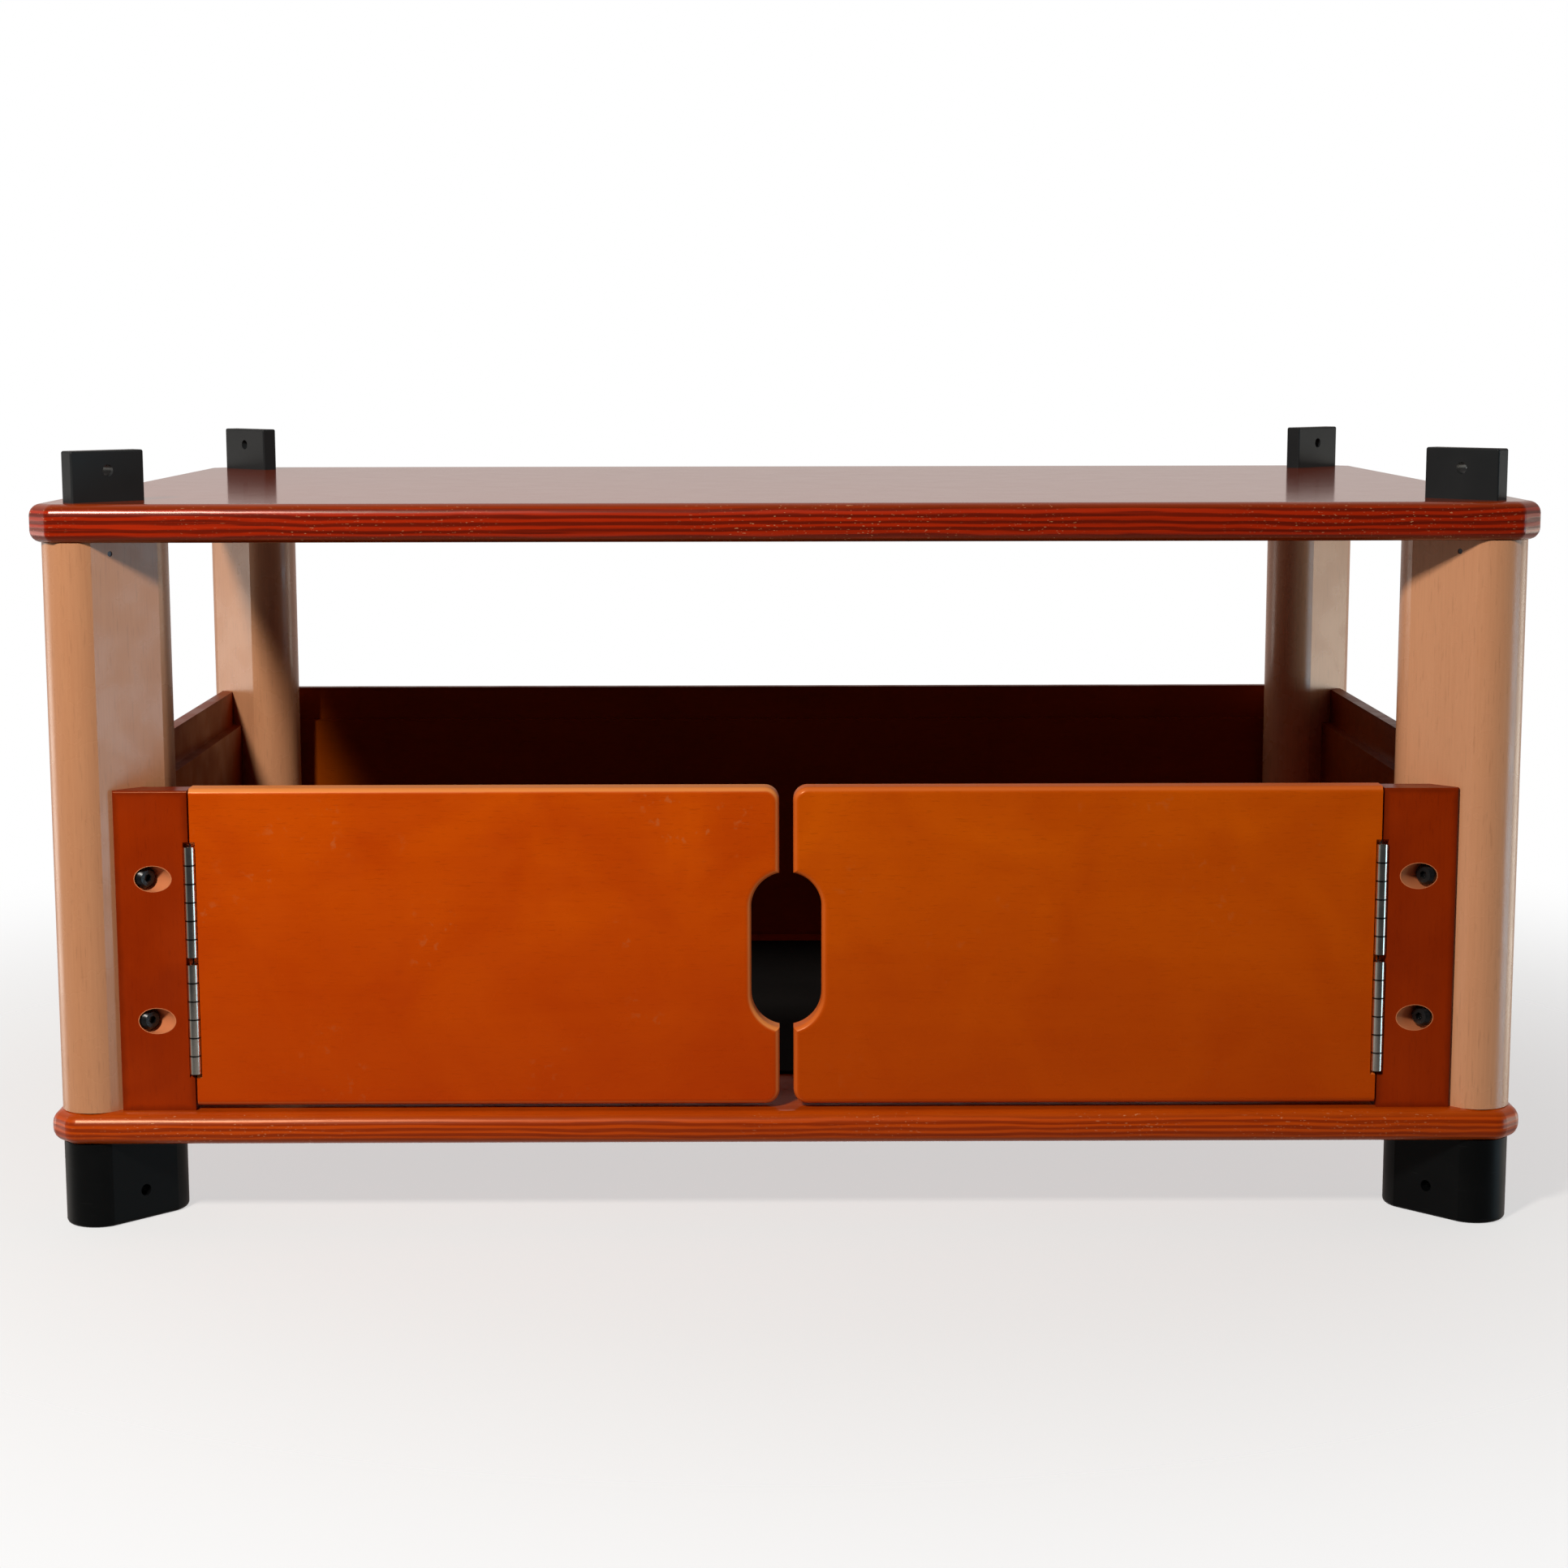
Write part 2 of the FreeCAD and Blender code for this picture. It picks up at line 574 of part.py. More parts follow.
def hinge_recesses(label, hand, into, lift):
    """Tools for the barrel groove, leaf recesses and screw holes in a stile (into = hand) or a door."""
    tools = []
    middle = "hinge_low + hinge_pitch / 2 - (%s)" % lift
    groove = doc.addObject("Part::Wedge", label + "_groove")
    half = "groove_long / 2"
    for prop, text in {
        "Xmin": "-groove_half", "Xmax": "groove_half", "X2min": "-groove_half", "X2max": "groove_half",
        "Ymin": "0", "Ymax": "groove_deep",
        "Zmin": "-%s - groove_ramp" % half, "Zmax": "%s + groove_ramp" % half,
        "Z2min": "-" + half, "Z2max": half,
    }.items():
        bind(groove, prop, text)
    tools.append(place(groove, ("%d * hinge_x" % hand, "-front_face", middle)))
    for level, height in HINGES.items():
        near = "%d * hinge_x" % hand if into > 0 else "%d * hinge_x - leaf_face" % hand
        low = "%s - hinge_height / 2 - (%s)" % (height, lift)
        name = "%s_%s" % (label, level)
        tools.append(box(name + "_recess", "leaf_face", "leaf_deep", "hinge_height",
                         (near, "-front_face", low)))
        for i, step in enumerate(SCREW_PLACES):
            at = ("%d * hinge_x + %d * leaf_offset" % (hand, into), "-front_face + screw_back",
                  "%s + %d * screw_pitch - (%s)" % (height, step, lift))
            turn = FreeCAD.Rotation(UP, FreeCAD.Vector(into, 0, 0))
            tools.append(cylinder("%s_pilot_%d" % (name, i), "screw_dia + screw_play",
                                  "leaf_thick + screw_long", at, turn))
    return tools


def make_door(side, hand):
    """One door: rounded at its free corners and front edges, with its half of the hand cut-out."""
    label = side + "_door"
    body = new_body(label + "_wood")
    sketch = new_sketch(body, label + "_section")
    add_outline(sketch, [
        ("%d * door_gap / 2" % hand, "-front_face"),
        ("%d * door_outer" % hand, "-front_face"),
        ("%d * door_outer" % hand, "-front_face + door_thick"),
        ("%d * door_gap / 2" % hand, "-front_face + door_thick"),
    ])
    pad(body, sketch, "door_height")
    inner, outer = value("door_gap / 2"), value("door_outer")
    front, back = value("-front_face"), value("-front_face + door_thick")

    def free_corner(edge):
        spread = edge.BoundBox
        through = spread.YLength > NEAR and spread.XLength < NEAR and spread.ZLength < NEAR
        return through and abs(abs(spread.XMin) - inner) < NEAR

    def on_plane(at):
        def test(edge):
            spread = edge.BoundBox
            flat = spread.YLength < NEAR and abs(spread.YMin - at) < NEAR
            at_hinge = spread.XLength < NEAR and abs(abs(spread.XMin) - outer) < NEAR
            return flat and not at_hinge
        return test

    soften(body, label + "_corners", "door_corner", free_corner)
    grip = new_sketch(body, label + "_grip", plane="XZ_Plane")
    arm = "(grip_height - grip_width) / 2"
    middle = "grip_middle - door_lift"
    add_stadium(grip, middle + " - " + arm, middle + " + " + arm, "grip_width / 2", standing=True)
    pocket(body, grip, "2 * front_face", upward=True)
    soften(body, label + "_front_edges", "door_round", on_plane(front))
    soften(body, label + "_back_edges", "door_ease", on_plane(back))
    tools = hinge_recesses(label, hand, -hand, "door_lift")
    return place(cut(label, body, tools), ("0", "0", "floor_z + door_lift"))


def make_leaf(label, hand, into, height, own):
    """A hinge leaf: a plate let into the wood, its own knuckles, and three countersunk screw holes."""
    low = height + " - hinge_height / 2"
    near = "%d * hinge_x + leaf_offset" % hand if into > 0 else "%d * hinge_x - leaf_face" % hand
    plate = box(label + "_plate", "leaf_thick", "leaf_deep - groove_deep", "hinge_height",
                (near, "-front_face + groove_deep", low))
    pieces = [plate]
    for k in range(own, KNUCKLES, 2):
        start = "%s + %d * hinge_height / %d + knuckle_gap / 2" % (low, k, KNUCKLES)
        tall = "hinge_height / %d - knuckle_gap" % KNUCKLES
        name = "%s_knuckle_%d" % (label, k)
        pieces.append(cylinder(name, "barrel_dia", tall, ("%d * hinge_x" % hand, "-front_face", start)))
        pieces.append(box(name + "_tab", "leaf_thick", "groove_deep + leaf_thick", tall,
                          (near, "-front_face", start)))
    play = "fixed_play" if into == hand else "running_play"
    tools = [cylinder(label + "_bore", "hinge_pin_dia + 2 * %s" % play, "2 * hinge_height",
                      ("%d * hinge_x" % hand, "-front_face", height + " - hinge_height"))]
    tools += screw_row(label + "_sink", hand, into, height, "screw_play", False)
    return place(cut(label, fuse(label + "_solid", pieces), tools), ("0", "0", "floor_z"))


def screw_row(label, hand, into, height, play, shanks=True):
    """Three countersunk heads along a leaf, with their shanks unless they only cut the leaf."""
    turn = FreeCAD.Rotation(UP, FreeCAD.Vector(into, 0, 0))
    row_of = []
    for i, step in enumerate(SCREW_PLACES):
        name = "%s_%d" % (label, i)
        rise = "%s + %d * screw_pitch" % (height, step)
        at = ("%d * hinge_x + %d * leaf_offset" % (hand, into), "-front_face + screw_back", rise)
        head = cone(name + "_head", "screw_head_dia + " + play, "screw_dia + " + play, "leaf_thick", at, turn)
        if not shanks:
            row_of.append(head)
            continue
        at = ("%d * hinge_x + %d * leaf_face" % (hand, into), at[1], rise)
        shank = cylinder(name + "_shank", "screw_dia", "screw_long", at, turn)
        row_of.append(fuse(name, [head, shank]))
    return row_of


def make_hinges():
    """Four butt hinges, each a stile leaf, a door leaf and a pin, with their screws in three groups."""
    nodes = []
    stile_screws = []
    for side, hand in SIDES.items():
        door_screws = []
        for level, height in HINGES.items():
            name = "%s_%s_hinge" % (side, level)
            nodes.append(make_leaf(name + "_stile_leaf", hand, hand, height, 0))
            nodes.append(make_leaf(name + "_door_leaf", hand, -hand, height, 1))
            at = ("%d * hinge_x" % hand, "-front_face", "floor_z + %s - hinge_height / 2" % height)
            nodes.append(cylinder(name + "_pin", "hinge_pin_dia", "hinge_height", at))
            raised = "floor_z + " + height
            stile_screws += screw_row(name + "_stile_screw", hand, hand, raised, "0")
            door_screws += screw_row(name + "_door_screw", hand, -hand, raised, "0")
        nodes.append(group(side + "_door_hinge_screws", door_screws))
    return nodes + [group("stile_hinge_screws", stile_screws)]


def make_bolt(name, at, normal):
    """A panel bolt: shank, low domed head and hexagon socket."""
    turn = FreeCAD.Rotation(UP, normal)
    x, y, height = at
    stations = {key: (*along(x, y, normal, distance), height) for key, distance in {
        "shank": "bolt_seat - bolt_long",
        "rim": "bolt_seat",
        "dome": "bolt_seat + bolt_head_rim",
        "key": "bolt_seat + bolt_head_high - key_deep",
    }.items()}
    shank = cylinder(name + "_shank", "bolt_dia", "bolt_long", stations["shank"], turn)
    rim = cylinder(name + "_rim", "bolt_head_dia", "bolt_head_rim", stations["rim"], turn)
    dome = cone(name + "_dome", "bolt_head_dia", "bolt_face_dia", "bolt_head_dome", stations["dome"], turn)
    key = doc.addObject("Part::Prism", name + "_key")
    key.Polygon = 6
    bind(key, "Circumradius", "key_width / sqrt(3)")
    bind(key, "Height", "2 * key_deep")
    place(key, stations["key"], turn)
    return cut(name, fuse(name + "_solid", [shank, rim, dome]), [key])


def make_insert(name, at, normal):
    """A threaded insert sunk flush with the post's flat."""
    turn = FreeCAD.Rotation(UP, normal)
    x, y, height = at
    start = (*along(x, y, normal, "-insert_deep"), height)
    shell = cylinder(name + "_shell", "insert_dia", "insert_deep", start, turn)
    bore = cylinder(name + "_bore", "insert_bore_dia", "insert_deep", start, turn)
    return cut(name, shell, [bore])


def make_fasteners():
    """The panel bolts in one group per kind of panel, and all the inserts that they screw into."""
    bolts = {"stile": [], "side": [], "back": []}
    inserts = []
    for i, (face, _, x, y, normal) in enumerate(flats()):
        for j, height in enumerate(BOLT_HEIGHTS):
            at = (x, y, "floor_z + " + height)
            bolts[face].append(make_bolt("%s_bolt_%d_%d" % (face, i, j), at, normal))
            inserts.append(make_insert("insert_%d_%d" % (i, j), at, normal))
    names = {"stile": "stile_bolts", "side": "side_panel_bolts", "back": "back_panel_bolts"}
    return [group(names[face], bolts[face]) for face in bolts] + [group("thread_inserts", inserts)]


def make_nodes():
    """Every piece of the unit, each as one document object."""
    nodes = [
        make_board("bottom_board", "foot_height", "lower_board", "lower_soft", "lower_round"),
        make_board("top_board", "ceiling_z", "upper_board", "upper_soft", "upper_round"),
    ]
    for name, x, y, rotation in corner_posts():
        nodes.append(make_post("post_" + name, x, y, rotation))
        nodes.append(make_tenon("stacking_tenon_" + name, x, y, rotation))
        nodes.append(make_foot("foot_" + name, x, y, rotation))
    nodes.append(make_cross_pins())
    for side, hand in SIDES.items():
        nodes.append(make_stile(side, hand))
        nodes.append(make_door(side, hand))
        nodes.append(make_long_panel(side + "_side_panel", "side_reach", "side_face",
                                     "post_y - flat_shift", -90 * hand))
    nodes.append(make_long_panel("back_panel", "front_reach", "front_face", "post_x - flat_shift", 0))
    nodes += make_hinges()
    nodes += make_fasteners()
    nodes.append(box("floor_mat", "mat_wide", "mat_deep", "mat_thick",
                     ("-mat_wide / 2", "mat_back - mat_deep / 2", "floor_z")))
    return nodes


def check_and_export(nodes):
    """Stop on any failed object or bad shape, then write one STEP file per node."""
    doc.recompute()
    failed = [thing.Name for thing in doc.Objects if {"Invalid", "Error"} & set(thing.State)]
    if failed:
        raise RuntimeError("failed objects: " + ", ".join(failed))
    for node in nodes:
        if node.Shape.isNull() or not node.Shape.isValid() or not node.Shape.Solids:
            raise RuntimeError(node.Label + " has a bad shape")
    os.makedirs("parts", exist_ok=True)
    for node in nodes:
        node.Shape.exportStep("parts/%s.step" % node.Label)
    spread = FreeCAD.BoundBox()
    for node in nodes:
        spread.add(node.Shape.BoundBox)
    print("%d nodes, %.1f x %.1f x %.1f mm" % (len(nodes), spread.XLength, spread.YLength, spread.ZLength))


check_and_export(make_nodes())
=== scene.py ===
"""Looks of the low storage unit: procedural stains, beech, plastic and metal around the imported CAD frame."""
import math

import bpy
from mathutils import Matrix, Vector


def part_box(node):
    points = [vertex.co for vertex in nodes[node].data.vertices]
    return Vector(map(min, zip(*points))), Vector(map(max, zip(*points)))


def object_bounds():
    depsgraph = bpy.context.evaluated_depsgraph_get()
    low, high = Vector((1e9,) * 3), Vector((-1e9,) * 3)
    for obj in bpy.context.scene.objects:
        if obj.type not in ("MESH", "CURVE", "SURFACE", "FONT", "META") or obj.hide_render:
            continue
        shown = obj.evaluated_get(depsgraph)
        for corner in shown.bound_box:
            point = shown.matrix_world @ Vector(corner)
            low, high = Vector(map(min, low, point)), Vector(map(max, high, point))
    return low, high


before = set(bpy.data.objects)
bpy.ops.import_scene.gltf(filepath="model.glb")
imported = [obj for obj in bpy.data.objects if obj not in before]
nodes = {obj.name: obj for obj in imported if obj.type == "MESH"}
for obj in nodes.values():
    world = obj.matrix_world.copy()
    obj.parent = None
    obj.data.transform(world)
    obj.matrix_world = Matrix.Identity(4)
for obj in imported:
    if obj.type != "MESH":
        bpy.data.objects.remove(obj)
cad_low, cad_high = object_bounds()

# Colours are linear red, green and blue. Patterns are given in features per metre.
MM = 0.001
X, Y, Z = range(3)


# ---------------------------------------------------------------- shader building blocks
# where a Mix node keeps its colours, among its sockets for other kinds of value
FIRST_COLOUR, SECOND_COLOUR, MIXED_COLOUR = 6, 7, 2
NOISE_MIDDLE = 0.5
NOISE_BULK = (0.3, 0.7)
SQUARE = 2.0


class Shader:
    """A material's node tree, with short calls for the nodes that the finishes share."""

    def __init__(self, name, **sockets):
        self.material = bpy.data.materials.new(name)
        self.material.use_nodes = True
        self.tree = self.material.node_tree
        self.bsdf = self.tree.nodes["Principled BSDF"]
        self.set(**sockets)
        coordinates = self.add("ShaderNodeTexCoord")
        self.place = coordinates.outputs["Object"]
        self.normal = coordinates.outputs["Normal"]

    def set(self, **sockets):
        """Sets or joins the shader's own inputs, with _ for each space in a name."""
        for name, value in sockets.items():
            self.put(self.bsdf.inputs[name.replace("_", " ")], value)

    def put(self, socket, value):
        """Joins another socket to this one, or sets its value."""
        if isinstance(value, bpy.types.NodeSocket):
            self.tree.links.new(value, socket)
        elif isinstance(value, tuple) and len(value) == 3 and socket.type == "RGBA":
            socket.default_value = (*value, 1.0)
        else:
            socket.default_value = value

    def add(self, kind, *values, **settings):
        """One node. The values go to its inputs in order."""
        made = self.tree.nodes.new(kind)
        for name, value in settings.items():
            setattr(made, name, value)
        for socket, value in zip(made.inputs, values):
            self.put(socket, value)
        return made

    def math(self, operation, *values, clamp=False):
        return self.add("ShaderNodeMath", *values, operation=operation, use_clamp=clamp).outputs[0]

    def vector(self, operation, *values):
        return self.add("ShaderNodeVectorMath", *values, operation=operation).outputs[0]

    def axes(self, vector):
        return self.add("ShaderNodeSeparateXYZ", vector).outputs

    def facing(self, axis):
        """How squarely the surface faces along an axis, either way: 1 is straight and 0 is side on."""
        return self.math("ABSOLUTE", self.axes(self.normal)[axis])

    def distance(self, across, up):
        """The length of a line from its two parts."""
        squares = self.math("ADD", self.math("POWER", across, SQUARE), self.math("POWER", up, SQUARE))
        return self.math("SQRT", squares)

    def span(self, value, low, high, to_low=0.0, to_high=1.0):
        """The value, moved from one range to another and held inside it."""
        made = self.add("ShaderNodeMapRange", value, low, high, to_low, to_high)
        made.interpolation_type = "SMOOTHSTEP"
        return made.outputs[0]

    def noise(self, per_metre, detail=2.0, twist=0.0, seed=0.0):
        """Noise from 0 to 1, with so many features per metre along X, Y and Z."""
        spread = self.vector("MULTIPLY", self.place, per_metre)
        shifted = self.vector("ADD", spread, (seed, seed, seed))
        made = self.add("ShaderNodeTexNoise", shifted)
        made.inputs["Scale"].default_value = 1.0
        made.inputs["Detail"].default_value = detail
        made.inputs["Distortion"].default_value = twist
        return made.outputs[0]

    def sway(self, noise, amount, value, clamp=False):
        """The value, pushed up or down by a noise."""
        centred = self.math("SUBTRACT", noise, NOISE_MIDDLE)
        return self.math("MULTIPLY_ADD", centred, amount, value, clamp=clamp)

    def mix(self, share, first, second):
        """A colour that goes from the first to the second as the share goes from 0 to 1."""
        made = self.add("ShaderNodeMix", data_type="RGBA")
        self.put(made.inputs["Factor"], share)
        self.put(made.inputs[FIRST_COLOUR], first)
        self.put(made.inputs[SECOND_COLOUR], second)
        return made.outputs[MIXED_COLOUR]

    def bump(self, height, depth, strength=1.0):
        """Raises and lowers the surface's shading by a height."""
        made = self.add("ShaderNodeBump")
        made.inputs["Strength"].default_value = strength
        made.inputs["Distance"].default_value = depth
        self.put(made.inputs["Height"], height)
        self.set(Normal=made.outputs[0])


def even(per_metre):
    """The same number of features per metre along every axis."""
    return (per_metre, per_metre, per_metre)


def along(axis, run, across):
    """How many features per metre a grain has: few along its own axis and many across it."""
    return tuple(run if i == axis else across for i in range(3))


# ---------------------------------------------------------------- wood
# features per metre along a grain and across it
BANDS = (1.6, 34.0)
THREADS = (28.0, 900.0)
DASHES = (150.0, 1700.0)
FLECKS = (80.0, 900.0)
CLOUDS = even(16.0)
CLOUD_TWIST = 0.6
BAND_TWIST = 0.8
# what each pattern adds to a wood's seed, so that no two of them fall together
BAND_SEED, THREAD_SEED, DASH_SEED = 3, 7, 11
# the noise values between which a pore or a fleck goes from absent to full
PORE_SPAN = (0.62, 0.74)
FLECK_SPAN = (0.60, 0.74)
# how dark they are, as a share of the wood's dark colour
PORE_TONE = 0.45
FLECK_TONE = 0.7
FLECK_SHARE = 0.30
SHEEN = dict(per_metre=even(45.0), detail=3.0, seed=21.0)

# every panel bolt lies on an upright plane through a post's middle, at 45 degrees to the panels
BOLT_HEAD_RADIUS = 6 * MM
BORE_REACH = 7.4 * MM
PAST_INNER_FACE = 0.5 * MM
bolt_low, bolt_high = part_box("stile_bolts")
BOLT_MIDDLE = (bolt_low.z + bolt_high.z) / 2
BOLT_RISE = (bolt_high.z - bolt_low.z) / 2 - BOLT_HEAD_RADIUS
post_low, post_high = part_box("post_front_right")
AXES_SUM = (post_low.x + post_high.x - post_low.y - post_high.y) / 2


def bore_share(s, deep_axis, inner_plane):
    """1 on the walls of the bolts' counterbores, which show wood without its top coats, and 0 elsewhere."""
    x, y, z = s.axes(s.place)
    wide = s.math("ADD", s.math("ABSOLUTE", x), s.math("ABSOLUTE", y))
    off_axis = s.math("MULTIPLY", s.math("SUBTRACT", wide, AXES_SUM), math.sqrt(0.5))
    off_middle = s.math("ABSOLUTE", s.math("SUBTRACT", z, BOLT_MIDDLE))
    off_bolt = s.math("SUBTRACT", off_middle, BOLT_RISE)
    near = s.math("LESS_THAN", s.distance(off_axis, off_bolt), BORE_REACH)
    depth = s.math("ABSOLUTE", (x, y)[deep_axis])
    return s.math("MULTIPLY", near, s.math("GREATER_THAN", depth, inner_plane))


def wood(name, light, dark, axis, blotch, figure, fibre, seed, pores, **sockets):
    """A stained or clear wood face. Returns the shader, its colour and its surface height."""
    s = Shader(name, **sockets)
    clouds = s.noise(CLOUDS, detail=3.0, twist=CLOUD_TWIST, seed=seed)
    bands = s.noise(along(axis, *BANDS), detail=2.0, twist=BAND_TWIST, seed=seed + BAND_SEED)
    threads = s.noise(along(axis, *THREADS), detail=2.0, seed=seed + THREAD_SEED)
    tone = s.math("MULTIPLY", s.math("SUBTRACT", clouds, NOISE_MIDDLE), blotch * 2)
    tone = s.sway(bands, figure * 2, tone)
    tone = s.sway(threads, fibre * 2, tone)
    tone = s.math("ADD", tone, NOISE_MIDDLE, clamp=True)
    colour = s.mix(tone, dark, light)
    dashes = s.noise(along(axis, *DASHES), detail=1.0, seed=seed + DASH_SEED)
    pore = s.span(dashes, *PORE_SPAN, 0.0, pores)
    colour = s.mix(pore, colour, tuple(PORE_TONE * c for c in dark))
    height = s.math("SUBTRACT", threads, pore)
    return s, colour, height


def finish_wood(s, colour, height, depth, rough, edge=None, rough_edge=0.0):
    """Joins the colour and relief of a wood face. Its sheen varies slightly, and is duller on worn edges."""
    surface = s.span(s.noise(**SHEEN), *NOISE_BULK, *rough)
    if edge:
        surface = s.math("MAXIMUM", surface, s.math("MULTIPLY", edge, rough_edge))
    s.set(Base_Color=colour, Roughness=surface)
    s.bump(height, depth)
    return s.material


# ---------------------------------------------------------------- top and bottom boards
LAYER_PAIRS = 5.5
LAYER_WANDER = dict(per_metre=(9.0, 9.0, 60.0), detail=3.0, twist=0.4, seed=5.0)
LAYER_STREAK = dict(per_metre=(14.0, 14.0, 1500.0), detail=3.0, seed=9.0)
WANDER_SHARE = 0.35
STREAK_SHARE = 1.5
LAYER_SPAN = (-0.7, 0.9)
# how squarely a surface faces up or down, from where it is all edge to where it is all face
EDGE_TO_FACE = (0.35, 0.85)
WEAR_TO_FACE = (0.80, 0.97)

CHIP = (0.70, 0.34, 0.16)
SPECKS = dict(per_metre=(420.0, 420.0, 1500.0), detail=1.0, seed=33.0)
SPECK_SPAN = (0.68, 0.74)
SPECK_SHARE = 0.6
WORN_PLACES = dict(per_metre=even(9.0), detail=2.0, seed=36.0)
WORN_SPAN = (0.45, 0.6)

RIPPLE = dict(per_metre=(60.0, 60.0, 160.0), detail=2.0, seed=41.0)
RIPPLE_HEIGHT = 1.6
LAYER_HEIGHT = 0.3
BOARD_RELIEF = 0.05 * MM


def ply_edge(s, face, dark, light, thickness, low):
    """The face colour on top and underneath, and the stained layers of the plywood round the edge."""
    level = s.math("DIVIDE", s.math("SUBTRACT", s.axes(s.place)[Z], low), thickness)
    level = s.sway(s.noise(**LAYER_WANDER), WANDER_SHARE, level)
    wave = s.math("SINE", s.math("MULTIPLY", level, 2 * math.pi * LAYER_PAIRS))
    layer = s.span(wave, *LAYER_SPAN)
    layer = s.sway(s.noise(**LAYER_STREAK), STREAK_SHARE, layer, clamp=True)
    edge = s.mix(layer, dark, light)
    return s.mix(s.span(s.facing(Z), *EDGE_TO_FACE), edge, face), layer


def board(node, face, layers, calm, rough, rough_edge, **more):
    """A stained plywood board: veneer on both faces, and layers that show in the rounded edge."""
    s, veneer, height = wood("looks_" + node, *face, X, fibre=0.25, pores=0.3, **more)
    low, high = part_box(node)
    colour, layer = ply_edge(s, veneer, *layers, high.z - low.z, low.z)
    on_edge = s.span(s.facing(Z), *WEAR_TO_FACE, 1.0, 0.0)
    specks = s.span(s.noise(**SPECKS), *SPECK_SPAN, 0.0, SPECK_SHARE)
    chips = s.math("MULTIPLY", specks, s.span(s.noise(**WORN_PLACES), *WORN_SPAN))
    chips = s.math("MULTIPLY", chips, on_edge)
    colour = s.mix(chips, colour, CHIP)
    ripple = s.math("MULTIPLY", s.noise(**RIPPLE), RIPPLE_HEIGHT)
    relief = s.math("MULTIPLY_ADD", layer, LAYER_HEIGHT, ripple)
    height = s.math("MULTIPLY_ADD", relief, on_edge, s.math("MULTIPLY", height, calm))
    return finish_wood(s, colour, height, BOARD_RELIEF, rough, on_edge, rough_edge)


TOP = board(
    "top_board",
    face=((0.300, 0.040, 0.0030), (0.220, 0.0220, 0.0014)),
    layers=((0.150, 0.0070, 0.0002), (0.440, 0.0200, 0.0003)),
    calm=0.01, rough=(0.115, 0.125), rough_edge=0.24, blotch=0.16, figure=0.25, seed=2.0,
    Specular_IOR_Level=0.5, Specular_Tint=(1.0, 0.80, 0.70),
)
BASE = board(
    "bottom_board",
    face=((0.560, 0.085, 0.0020), (0.380, 0.040, 0.0008)),
    layers=((0.290, 0.0250, 0.0003), (0.560, 0.0640, 0.0008)),
    calm=0.5, rough=(0.18, 0.26), rough_edge=0.30, blotch=0.4, figure=0.4, seed=12.0,
    Specular_IOR_Level=0.5, Specular_Tint=(1.0, 0.65, 0.42),
)


# ---------------------------------------------------------------- doors
ORANGE_TINT = (1.0, 0.50, 0.25)
SCUFF = (0.58, 0.17, 0.045)
SCUFF_SEED, PATCH_SEED = 51, 57
SCUFF_SPAN = (0.60, 0.70)
PATCH_SPAN = (0.56, 0.68)
LOWER_DARKENING_SHARE = 0.6
# how squarely a surface faces to the front or back, from the rounded edge to the flat face
ROUNDING = (0.80, 0.995)
# how much of the paler edge colour shows on the rounded edges, from the sides to the top: rubbed stain, and a
# painted highlight where the edges face the light from above
FACING_UP = (0.0, 0.5)
RUBBED_AND_HIGHLIT_SHARE = (0.45, 0.85)
DOOR_RELIEF = 0.03 * MM
DOOR_ROUGH = (0.24, 0.34)
DOOR_ROUGH_EDGE = 0.50


def door_finish(node, light, dark, bottom_colour, rubbed_and_highlit, seed, scuffed):
    """Orange stain over a plain veneer: cloudy, rubbed paler in a few spots, darker towards the bottom, and
    paler round the edges, where rubbed stain meets a painted highlight on the edges that face up.
    """
    s, colour, height = wood(
        "looks_" + node, light, dark, X, blotch=0.85, figure=0.30, fibre=0.12, seed=seed, pores=0.22,
        Specular_IOR_Level=0.35, Specular_Tint=ORANGE_TINT,
    )
    worn = s.span(s.noise(even(190.0), detail=3.0, seed=seed + SCUFF_SEED), *SCUFF_SPAN)
    patch = s.noise(even(22.0), detail=1.0, seed=seed + PATCH_SEED)
    scuff = s.math("MULTIPLY", worn, s.span(patch, *PATCH_SPAN, 0.0, scuffed))
    colour = s.mix(scuff, colour, SCUFF)
    low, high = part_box(node)
    # darker towards the bottom of each door
    lower_darkening = s.span(s.axes(s.place)[Z], low.z, high.z, LOWER_DARKENING_SHARE, 0.0)
    colour = s.mix(lower_darkening, colour, bottom_colour)
    rounded = s.span(s.facing(Y), *ROUNDING, 1.0, 0.0)
    # paler on the rounded edges, most where they face up: rubbed stain, and a painted highlight of the light
    # from above
    upward_highlight = s.span(s.axes(s.normal)[Z], *FACING_UP, *RUBBED_AND_HIGHLIT_SHARE)
    colour = s.mix(s.math("MULTIPLY", rounded, upward_highlight), colour, rubbed_and_highlit)
    return finish_wood(s, colour, height, DOOR_RELIEF, DOOR_ROUGH, rounded, DOOR_ROUGH_EDGE)


LEFT_DOOR = door_finish(
    "left_door", light=(0.720, 0.100, 0.0002), dark=(0.540, 0.054, 0.0001), bottom_colour=(0.420, 0.030, 0.0001),
    rubbed_and_highlit=(0.860, 0.300, 0.075), seed=70.0, scuffed=0.4,
)
RIGHT_DOOR = door_finish(
    "right_door", light=(0.700, 0.112, 0.0002), dark=(0.540, 0.068, 0.0001), bottom_colour=(0.420, 0.038, 0.0001),
    rubbed_and_highlit=(0.740, 0.160, 0.025), seed=90.0, scuffed=0.15,
)


# ---------------------------------------------------------------- stiles and panels
BARE = (0.66, 0.22, 0.09)
PANEL_TINT = (1.0, 0.42, 0.15)
OUTLINE_WANDER = dict(per_metre=even(120.0), detail=2.0, seed=61.0)
OUTLINE_SWAY = 2.5 * MM
PANEL_RELIEF = 0.035 * MM
PANEL_ROUGH = (0.30, 0.42)


